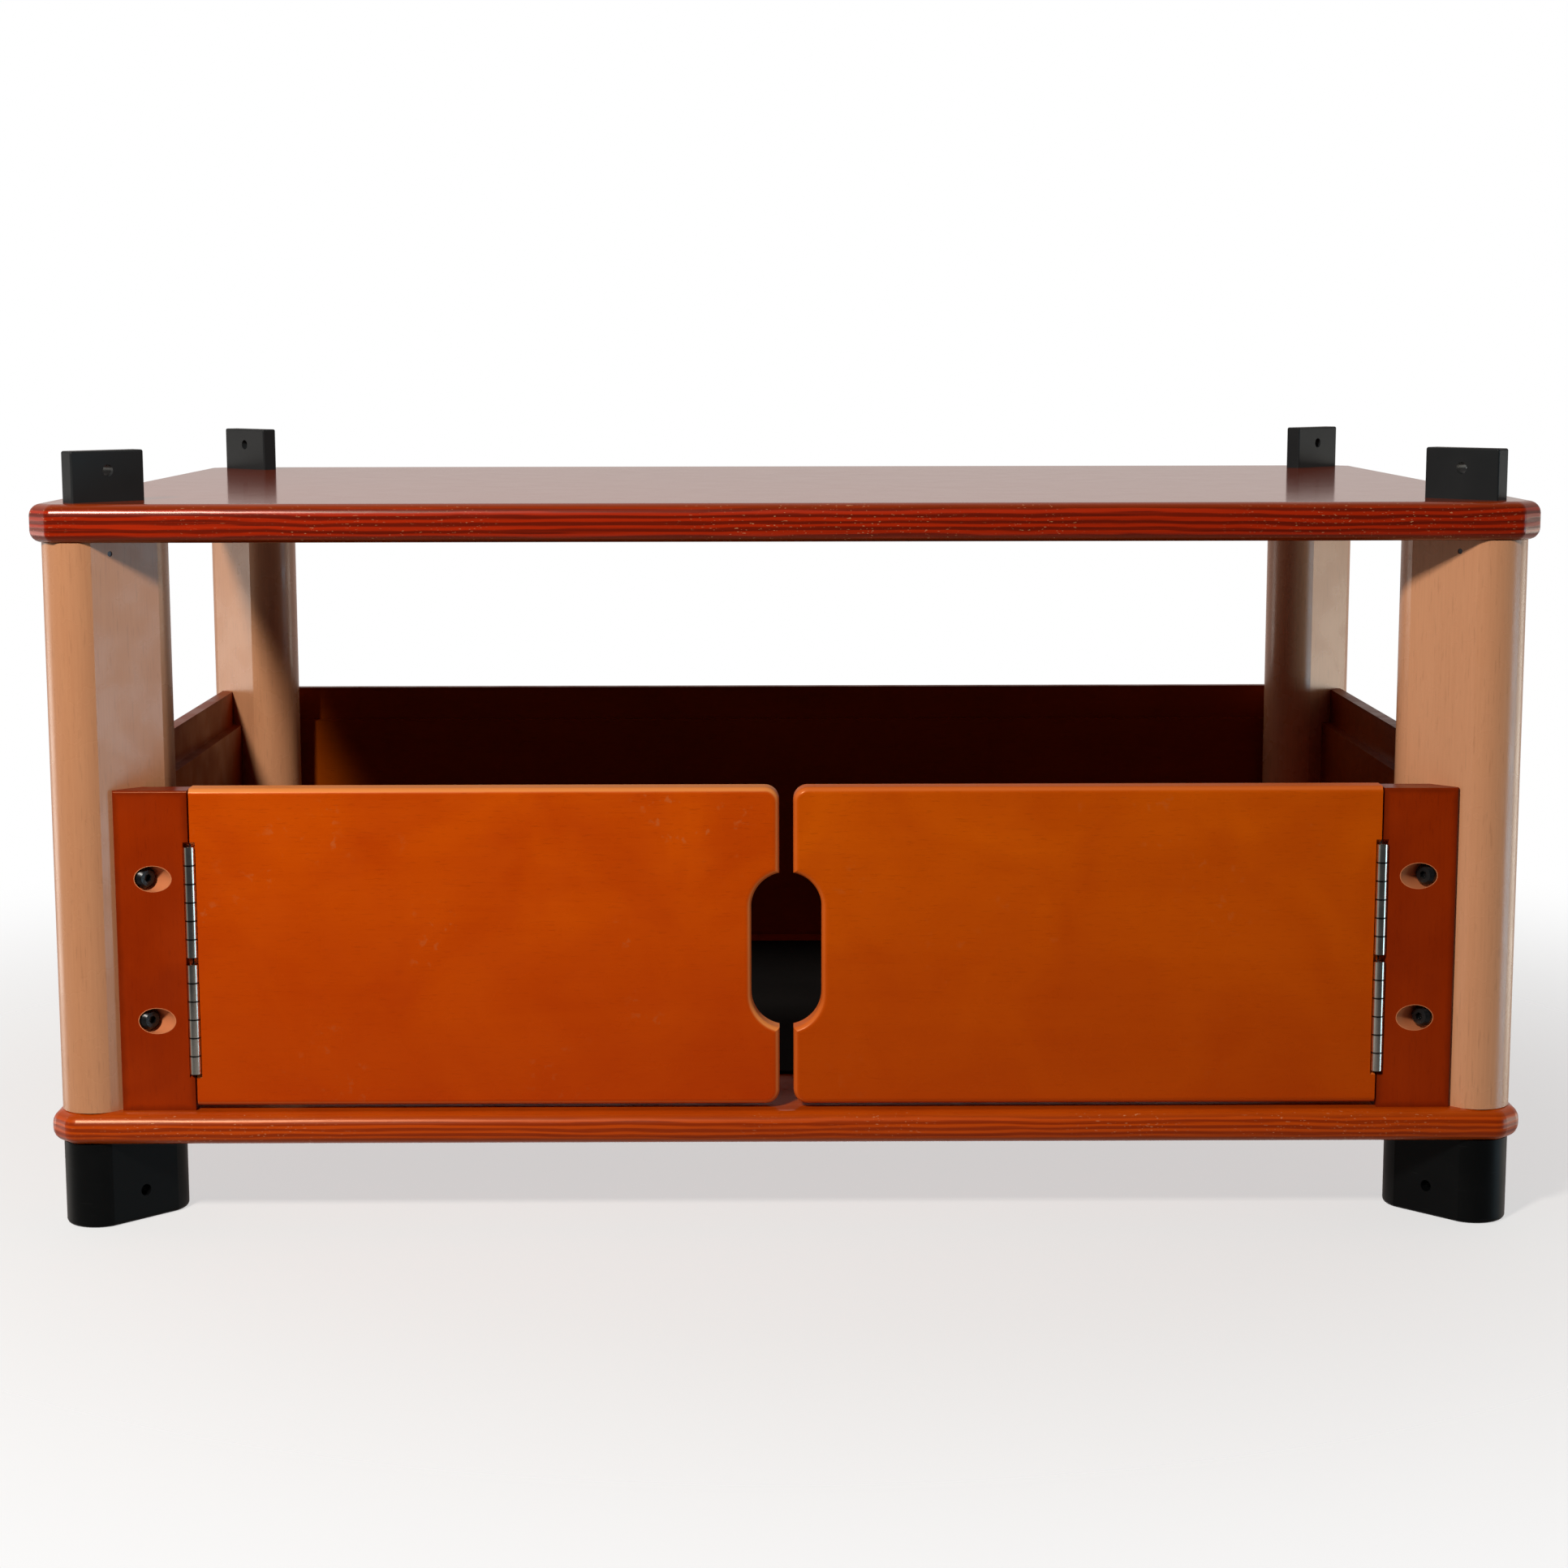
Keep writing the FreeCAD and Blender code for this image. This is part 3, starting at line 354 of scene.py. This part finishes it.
def outline_stain_and_shade(s, node, reach, spans):
    """1 within a few millimetres of a board's outline, 0 further in: where stain gathers, and where painted
    shade darkens the rounded edges.
    """
    low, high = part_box(node)
    closest = None
    for axis in spans:
        value, near, far = s.axes(s.place)[axis], low[axis], high[axis]
        if near * far > 0:
            # the board lies to one side, and its twin on the other side shares the finish
            value = s.math("ABSOLUTE", value)
            near, far = sorted((abs(near), abs(far)))
        inside = s.math("MINIMUM", s.math("SUBTRACT", value, near), s.math("SUBTRACT", far, value))
        closest = s.math("MINIMUM", closest, inside) if closest else inside
    closest = s.sway(s.noise(**OUTLINE_WANDER), OUTLINE_SWAY, closest)
    return s.span(closest, 0.0, reach, 1.0, 0.0)


def finish_panel(s, colour, height, node, deep_axis, stain_and_shade, outline):
    """Stain gathered along the outline with painted shade of the rounded edges, bare wood in the counterbores,
    and a satin surface.
    """
    # darker along the outline: gathered stain, and painted shade of the rounded edges
    colour = s.mix(outline, colour, stain_and_shade)
    low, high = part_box(node)
    inner = min(abs(low[deep_axis]), abs(high[deep_axis])) + PAST_INNER_FACE
    colour = s.mix(bore_share(s, deep_axis, inner), colour, BARE)
    return finish_wood(s, colour, height, PANEL_RELIEF, PANEL_ROUGH)


def stile_finish():
    """Deep red-orange stain on the two short boards that carry the hinges."""
    s, colour, height = wood(
        "looks_stile", (0.385, 0.034, 0.0002), (0.245, 0.016, 0.0001), Z, blotch=0.7, figure=0.25,
        fibre=0.12, seed=110.0, pores=0.2, Specular_IOR_Level=0.35, Specular_Tint=ORANGE_TINT,
    )
    outline = s.math("MULTIPLY", outline_stain_and_shade(s, "left_stile", 4.5 * MM, (X, Z)), 0.55)
    return finish_panel(s, colour, height, "left_stile", Y, (0.120, 0.0090, 0.0003), outline)


def panel_finish(name, node, axis, deep_axis, light, dark):
    """Orange-brown stain on the back and side panels, whose grain runs along an axis. Its colours are darker
    than the doors' stain, partly as painted shade of the cabinet's inside.
    """
    s, colour, height = wood(
        name, light, dark, axis, blotch=0.5, figure=0.4, fibre=0.15, seed=130.0 + axis, pores=0.25,
        Specular_IOR_Level=0.14, Specular_Tint=PANEL_TINT,
    )
    outline = s.math("MULTIPLY", outline_stain_and_shade(s, node, 3.5 * MM, (axis, Z)), 0.35)
    return finish_panel(s, colour, height, node, deep_axis, (0.120, 0.0120, 0.0006), outline)


STILE = stile_finish()
# the panels' colours are partly painted shade: darker than the doors' stain, to match the shade inside the
# cabinet
SIDE = panel_finish(
    "looks_side_panel", "left_side_panel", Y, X, light=(0.320, 0.054, 0.0010), dark=(0.210, 0.028, 0.0004),
)
BACK = panel_finish(
    "looks_back_panel", "back_panel", X, Y, light=(0.310, 0.052, 0.0006), dark=(0.205, 0.030, 0.0003),
)


# ---------------------------------------------------------------- posts
BEECH_RELIEF = 0.012 * MM
BEECH_ROUGH = (0.24, 0.32)


def beech(name, light, dark, seed):
    """Clear-lacquered beech, with a soft upright figure and fine flecks."""
    s, colour, height = wood(
        name, light, dark, Z, blotch=0.12, figure=0.50, fibre=0.45, seed=seed, pores=0.0,
        Specular_IOR_Level=0.5,
    )
    flecks = s.noise(along(Z, *FLECKS), detail=1.0, seed=seed + DASH_SEED)
    fleck = s.span(flecks, *FLECK_SPAN, 0.0, FLECK_SHARE)
    colour = s.mix(fleck, colour, tuple(FLECK_TONE * c for c in dark))
    return finish_wood(s, colour, height, BEECH_RELIEF, BEECH_ROUGH)


BEECH = beech("looks_beech", light=(0.640, 0.305, 0.150), dark=(0.550, 0.245, 0.118), seed=150.0)
# a lighter copy of the same beech on the right-hand posts: painted light
LIT_RIGHT_BEECH = beech("looks_pale_beech", light=(0.770, 0.370, 0.190), dark=(0.670, 0.305, 0.150), seed=170.0)


# ---------------------------------------------------------------- plastic, metal and felt
PLASTIC_GRAIN = even(2200.0)
PLASTIC_CLOUDS = even(30.0)
PLASTIC_RELIEF = 0.05 * MM
PLASTIC_ROUGH = (0.36, 0.46)
SCRATCHES = dict(per_metre=(60.0, 60.0, 1400.0), detail=2.0, seed=4.0)
SCRATCH = (0.030, 0.031, 0.032)
SCRATCH_SPAN = (0.70, 0.78)
SCRATCH_SHARE = 0.3


def plastic(name, dark, light, specular):
    """Moulded black plastic with a fine spark-eroded grain and a few scratches."""
    s = Shader(name, Specular_IOR_Level=specular)
    grain = s.noise(PLASTIC_GRAIN, detail=2.0)
    clouds = s.noise(PLASTIC_CLOUDS, detail=3.0, twist=0.5)
    colour = s.mix(clouds, dark, light)
    scratch = s.span(s.noise(**SCRATCHES), *SCRATCH_SPAN, 0.0, SCRATCH_SHARE)
    colour = s.mix(scratch, colour, SCRATCH)
    s.set(Base_Color=colour, Roughness=s.span(clouds, *NOISE_BULK, *PLASTIC_ROUGH))
    s.bump(grain, PLASTIC_RELIEF, 0.35)
    return s.material


KNUCKLES = 6
hinge_low, hinge_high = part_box("left_lower_hinge_stile_leaf")
next_hinge_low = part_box("left_upper_hinge_stile_leaf")[0]
HINGE_PITCH = next_hinge_low.z - hinge_low.z
KNUCKLE_STEP = (hinge_high.z - hinge_low.z) / KNUCKLES
pin_low, pin_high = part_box("left_lower_hinge_pin")
HINGE_PIN = (pin_low + pin_high) / 2
BARREL_REACH = 3.3 * MM
JOINT_REACH = (0.25 * MM, 0.65 * MM)
JOINT_SHADE = (0.020, 0.016, 0.014)
JOINT_SHADE_SHARE = 0.9


def joint_share(s):
    """1 at the joints between a hinge's knuckles, where painted shade stands for the gaps between them, and 0
    elsewhere.
    """
    x, y, z = s.axes(s.place)
    across = s.math("SUBTRACT", s.math("ABSOLUTE", x), abs(HINGE_PIN.x))
    off_pin = s.distance(across, s.math("SUBTRACT", y, HINGE_PIN.y))
    rise = s.math("MODULO", s.math("SUBTRACT", z, hinge_low.z), HINGE_PITCH)
    off_joint = s.math("PINGPONG", rise, KNUCKLE_STEP / 2)
    past_first = s.math("GREATER_THAN", rise, KNUCKLE_STEP / 2)
    before_last = s.math("LESS_THAN", rise, KNUCKLE_STEP * (KNUCKLES - 0.5))
    inside = s.math("MULTIPLY", past_first, before_last)
    on_barrel = s.math("MULTIPLY", inside, s.math("LESS_THAN", off_pin, BARREL_REACH))
    return s.math("MULTIPLY", s.span(off_joint, *JOINT_REACH, 1.0, 0.0), on_barrel)


DRAWN_LINES = (500.0, 500.0, 80.0)
LINE_SHARE = 0.8
TARNISH = even(110.0)


def metal(name, bright, dull, rough, depth=0.02 * MM, jointed=False):
    """Plated or bare metal, with drawing lines, a cloudy tarnish and uneven gloss, and on hinges painted shade
    at the knuckle joints.
    """
    s = Shader(name, Metallic=1.0)
    lines = s.noise(DRAWN_LINES, detail=3.0)
    clouds = s.noise(TARNISH, detail=3.0, seed=6.0)
    colour = s.mix(s.sway(lines, LINE_SHARE, clouds, clamp=True), dull, bright)
    if jointed:
        # painted shade in the gaps between the hinge's knuckles
        colour = s.mix(s.math("MULTIPLY", joint_share(s), JOINT_SHADE_SHARE), colour, JOINT_SHADE)
    s.set(Base_Color=colour, Roughness=s.span(clouds, *NOISE_BULK, *rough))
    s.bump(lines, depth, 0.6)
    return s.material


BOLT_DARK = (0.0040, 0.0040, 0.0045)
BOLT_LIGHT = (0.0100, 0.0100, 0.0110)
BOLT_ROUGH = (0.24, 0.34)
BOLT_RELIEF = 0.005 * MM


def blacked_steel():
    """The bolts' black oxide: nearly even, with a slight sheen."""
    s = Shader("looks_black_bolt", Specular_IOR_Level=0.4)
    clouds = s.noise(even(600.0), detail=3.0)
    colour = s.mix(clouds, BOLT_DARK, BOLT_LIGHT)
    s.set(Base_Color=colour, Roughness=s.span(clouds, *NOISE_BULK, *BOLT_ROUGH))
    s.bump(clouds, BOLT_RELIEF, 0.4)
    return s.material


FELT_DARK = (0.0022, 0.0020, 0.0019)
FELT_LIGHT = (0.0075, 0.0068, 0.0062)
FELT_RELIEF = 0.25 * MM
FIBRE_SHARE = 1.6


def felt():
    """Thin dark needled mat: short crossing fibres and a slightly mottled tone."""
    s = Shader("looks_mat", Specular_IOR_Level=0.08)
    one = s.noise((1900.0, 320.0, 900.0), detail=2.0)
    two = s.noise((320.0, 1900.0, 900.0), detail=2.0, seed=8.0)
    fibres = s.math("MAXIMUM", one, two)
    clouds = s.noise(even(25.0), detail=3.0, seed=3.0)
    tone = s.sway(fibres, FIBRE_SHARE, clouds, clamp=True)
    s.set(Base_Color=s.mix(tone, FELT_DARK, FELT_LIGHT), Roughness=0.9)
    s.bump(fibres, FELT_RELIEF, 0.8)
    return s.material


# one black plastic in two copies: darker on the feet as painted shade under the bottom board, lighter on the
# tenons as painted light
SHADED_FOOT_PLASTIC = plastic(
    "looks_foot_plastic", dark=(0.0020, 0.0024, 0.0026), light=(0.0044, 0.0050, 0.0054), specular=0.1,
)
LIT_TENON_PLASTIC = plastic(
    "looks_tenon_plastic", dark=(0.0150, 0.0172, 0.0186), light=(0.0245, 0.0272, 0.0290), specular=0.14,
)
NICKEL = metal(
    "looks_hinge_nickel", bright=(0.74, 0.71, 0.64), dull=(0.50, 0.47, 0.41), rough=(0.10, 0.18),
    depth=0.006 * MM, jointed=True,
)
STEEL = metal("looks_pin_steel", bright=(0.15, 0.15, 0.16), dull=(0.07, 0.07, 0.08), rough=(0.35, 0.5))
BRASSED = metal("looks_insert", bright=(0.62, 0.50, 0.26), dull=(0.40, 0.31, 0.15), rough=(0.26, 0.4))
BOLT = blacked_steel()
FELT = felt()


# ---------------------------------------------------------------- which piece has which finish
# by material slot
FINISHES = {
    "top_stain": TOP,
    "board_stain": BASE,
    "bare_beech": BEECH,
    "black_plastic": SHADED_FOOT_PLASTIC,
    "pin_steel": STEEL,
    "stile_stain": STILE,
    "black_bolt": BOLT,
    "insert_metal": BRASSED,
    "hinge_nickel": NICKEL,
    "mat_felt": FELT,
}
# by node, where pieces of one slot look different, some of them as lighter or darker copies that paint in
# light and shade
BY_NODE = {
    "left_door": LEFT_DOOR,
    "right_door": RIGHT_DOOR,
    "left_side_panel": SIDE,
    "right_side_panel": SIDE,
    "back_panel": BACK,
    "post_front_right": LIT_RIGHT_BEECH,
    "post_rear_right": LIT_RIGHT_BEECH,
}
BY_NODE.update({name: LIT_TENON_PLASTIC for name in nodes if name.startswith("stacking_tenon")})

for name, piece in nodes.items():
    for slot in piece.material_slots:
        slot.material = BY_NODE.get(name) or FINISHES[slot.material.name.split(".")[0]]


# ---------------------------------------------------------------- floor and light
FLOOR_RADIUS = 1.2
FLOOR_GREY = (0.80, 0.80, 0.80)
FLOOR_FADE = (0.40, 1.1)
FLOOR_ALPHA = 0.40


def stage():
    """A pale floor that fades into the white surroundings."""
    bpy.ops.mesh.primitive_circle_add(
        vertices=96, radius=FLOOR_RADIUS, fill_type="NGON", location=(0, 0, cad_low.z),
    )
    floor = bpy.context.object
    floor.name = "floor"
    s = Shader("looks_floor", Base_Color=FLOOR_GREY, Roughness=0.9, Specular_IOR_Level=0.1)
    far = s.add("ShaderNodeVectorMath", s.place, operation="LENGTH").outputs["Value"]
    s.set(Alpha=s.span(far, *FLOOR_FADE, FLOOR_ALPHA, 0.0))
    floor.data.materials.append(s.material)


# the two stops of each colour ramp, with the place and colour of each
BACKDROP = (0.46, (0.050, 0.052, 0.056)), (0.80, (0.62, 0.55, 0.52))
SIDE_LIGHT = (0.70, (0.0, 0.0, 0.0)), (0.95, (0.24, 0.23, 0.21))


def ramp(tree, value, stops):
    """A colour that goes from the first stop's to the second's as the value rises."""
    made = tree.nodes.new("ShaderNodeValToRGB")
    for element, (position, colour) in zip(made.color_ramp.elements, stops):
        element.position = position
        element.color = (*colour, 1.0)
    tree.links.new(value, made.inputs[0])
    return made.outputs[0]


def backdrop_tint(tree):
    """Bright behind the object, where the backdrop hangs, dim at the sides and dark in front."""
    place = tree.nodes.new("ShaderNodeTexCoord")
    parts = tree.nodes.new("ShaderNodeSeparateXYZ")
    tree.links.new(place.outputs["Generated"], parts.inputs[0])
    # from the direction's -1 to 1 to a ramp's 0 to 1
    depth = tree.nodes.new("ShaderNodeMath")
    depth.operation = "MULTIPLY_ADD"
    depth.inputs[1].default_value = 0.5
    depth.inputs[2].default_value = 0.5
    tree.links.new(parts.outputs["Y"], depth.inputs[0])
    aside = tree.nodes.new("ShaderNodeMath")
    aside.operation = "ABSOLUTE"
    tree.links.new(parts.outputs["X"], aside.inputs[0])
    both = tree.nodes.new("ShaderNodeVectorMath")
    both.operation = "ADD"
    tree.links.new(ramp(tree, depth.outputs[0], BACKDROP), both.inputs[0])
    tree.links.new(ramp(tree, aside.outputs[0], SIDE_LIGHT), both.inputs[1])
    return both.outputs[0]


def surroundings():
    """A white backdrop for the camera, and the tinted one whose light falls on the object."""
    world = bpy.data.worlds.new("studio")
    bpy.context.scene.world = world
    world.use_nodes = True
    tree = world.node_tree
    tree.nodes.clear()
    out = tree.nodes.new("ShaderNodeOutputWorld")
    white = tree.nodes.new("ShaderNodeBackground")
    white.inputs["Color"].default_value = (1.0, 1.0, 1.0, 1.0)
    tinted = tree.nodes.new("ShaderNodeBackground")
    tree.links.new(backdrop_tint(tree), tinted.inputs["Color"])
    path = tree.nodes.new("ShaderNodeLightPath")
    mix = tree.nodes.new("ShaderNodeMixShader")
    tree.links.new(path.outputs["Is Camera Ray"], mix.inputs[0])
    tree.links.new(tinted.outputs[0], mix.inputs[1])
    tree.links.new(white.outputs[0], mix.inputs[2])
    tree.links.new(mix.outputs[0], out.inputs[0])


# place, the point that it faces, width, height, watts, colour and spread in degrees
LAMPS = {
    "key": ((-0.97, -2.0, 1.72), (-0.45, -0.26, 0.40), 0.28, 0.28, 22.5, (1.0, 0.94, 0.87), 116.0),
    "right_cool": ((2.2, -0.55, -0.10), (0.4, -0.45, 0.10), 0.9, 0.7, 8.0, (0.48, 0.80, 1.0), 180.0),
    "right_rear": ((2.2, 0.60, -0.10), (0.4, 0.60, 0.10), 1.0, 0.7, 7.0, (1.0, 0.95, 0.82), 180.0),
    "left_rear": ((-2.2, 0.60, -0.10), (-0.4, 0.60, 0.10), 1.0, 0.7, 5.7, (1.0, 0.97, 0.90), 180.0),
}


def softbox(name, place, aim, wide, high, power, colour, spread):
    """A soft light panel that faces a point on the object."""
    data = bpy.data.lights.new(name, "AREA")
    data.shape = "RECTANGLE"
    data.size = wide
    data.size_y = high
    data.spread = math.radians(spread)
    data.energy = power
    data.color = colour
    lamp = bpy.data.objects.new(name, data)
    lamp.location = place
    lamp.rotation_euler = (Vector(aim) - Vector(place)).to_track_quat("-Z", "Y").to_euler()
    bpy.context.scene.collection.objects.link(lamp)


# ---------------------------------------------------------------- camera
# metres, then radians, then millimetres
CAMERA_PLACE = (-0.00926, -1.8327, 0.4821)
CAMERA_DOWN = 0.146646
CAMERA_RIGHT = 0.0051021
CAMERA_ROLL = -0.0016795
CAMERA_LENS = 66.75
CAMERA_SENSOR = 36.0


def camera():
    """A view from in front of the doors, slightly above the top board."""
    data = bpy.data.cameras.new("camera")
    data.lens = CAMERA_LENS
    data.sensor_width = CAMERA_SENSOR
    data.clip_start = 0.05
    data.clip_end = 100.0
    view = bpy.data.objects.new("camera", data)
    turn = Matrix.Rotation(-CAMERA_RIGHT, 4, "Z")
    tilt = Matrix.Rotation(math.pi / 2 - CAMERA_DOWN, 4, "X")
    roll = Matrix.Rotation(CAMERA_ROLL, 4, "Z")
    view.matrix_world = Matrix.Translation(CAMERA_PLACE) @ turn @ tilt @ roll
    bpy.context.scene.collection.objects.link(view)
    bpy.context.scene.camera = view


stage()
surroundings()
for name, settings in LAMPS.items():
    softbox(name, *settings)
camera()
bpy.context.scene.view_settings.view_transform = "Standard"
